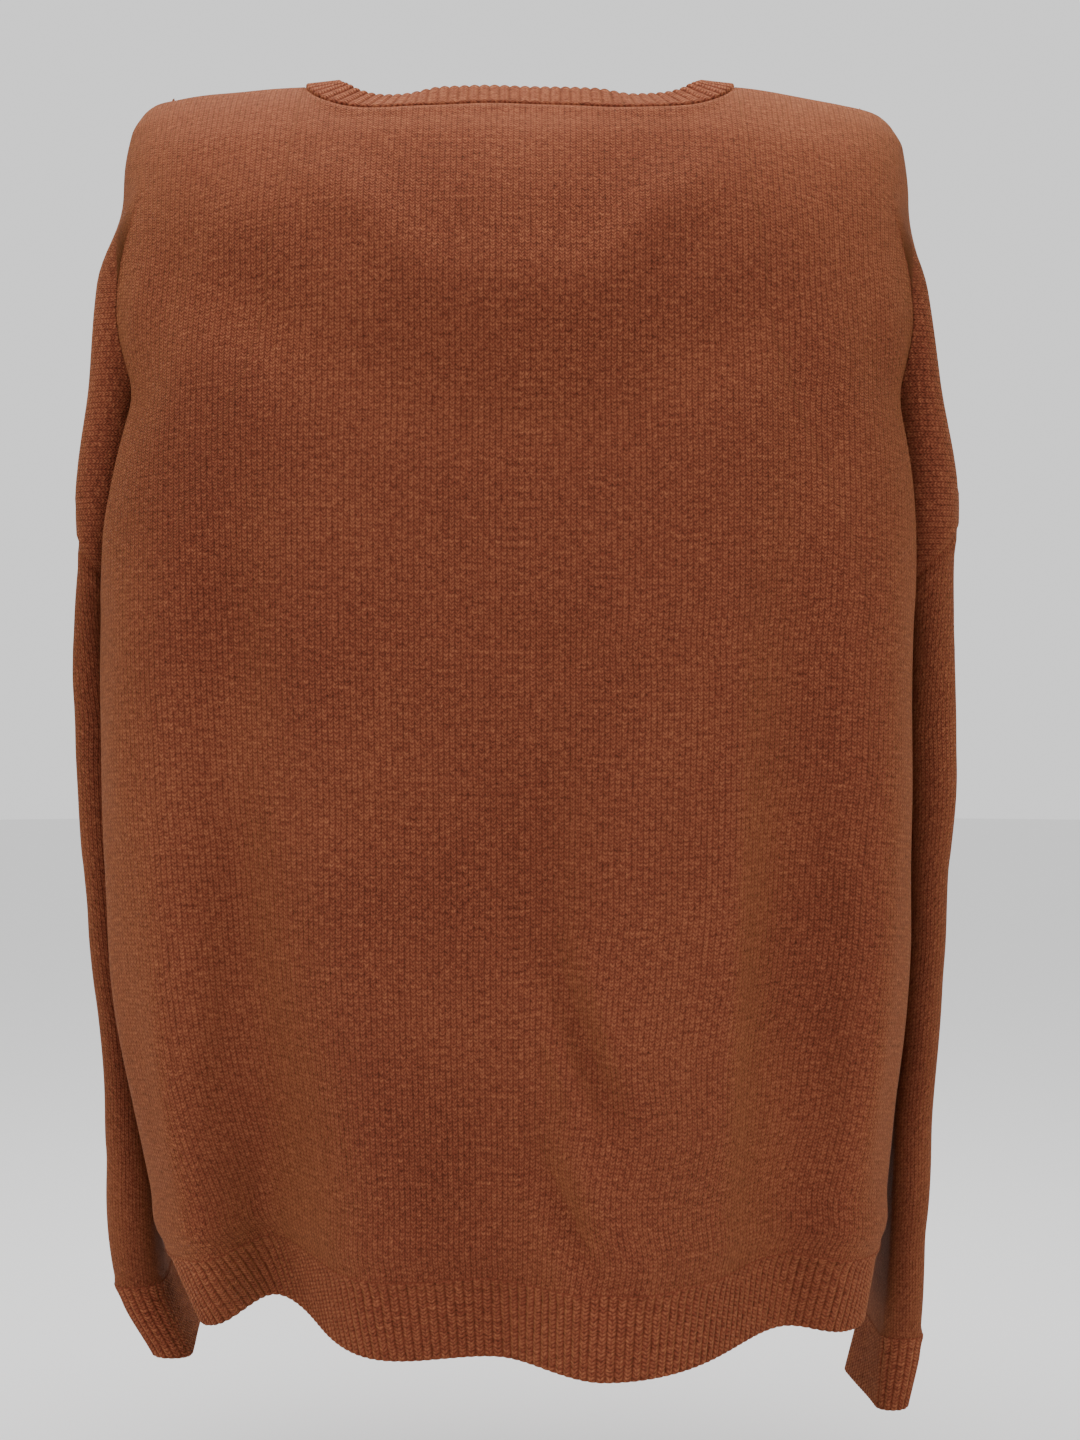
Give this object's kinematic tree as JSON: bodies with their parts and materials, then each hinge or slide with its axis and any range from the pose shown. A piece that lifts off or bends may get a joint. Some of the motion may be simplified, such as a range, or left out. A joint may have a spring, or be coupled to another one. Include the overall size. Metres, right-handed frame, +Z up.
{
  "type": "v-neck sweater",
  "caption": "Loose V-neck pullover in jersey knit with ribbed neckband, hem and cuffs and dropped shoulders, hanging filled out with the sleeves down at the sides.",
  "frame": {"origin": "midway between the two high points of the shoulder seams, where the wearer's shoulders carry the garment", "axes": "+Z up, +Y towards the wearer's front, +X towards the wearer's right side"},
  "size_m": [0.4852, 0.2605, 0.7067],
  "materials": {
    "knit": "matte rust-brown stocking-stitch wool knit"
  },
  "bodies": {
    "root": {"back": "knit", "front": "knit", "sleeve_left": "knit", "sleeve_right": "knit", "hem_back": "knit", "hem_front": "knit", "neckband": "knit", "cuff_left": "knit", "cuff_right": "knit"}
  },
  "joints": []
}
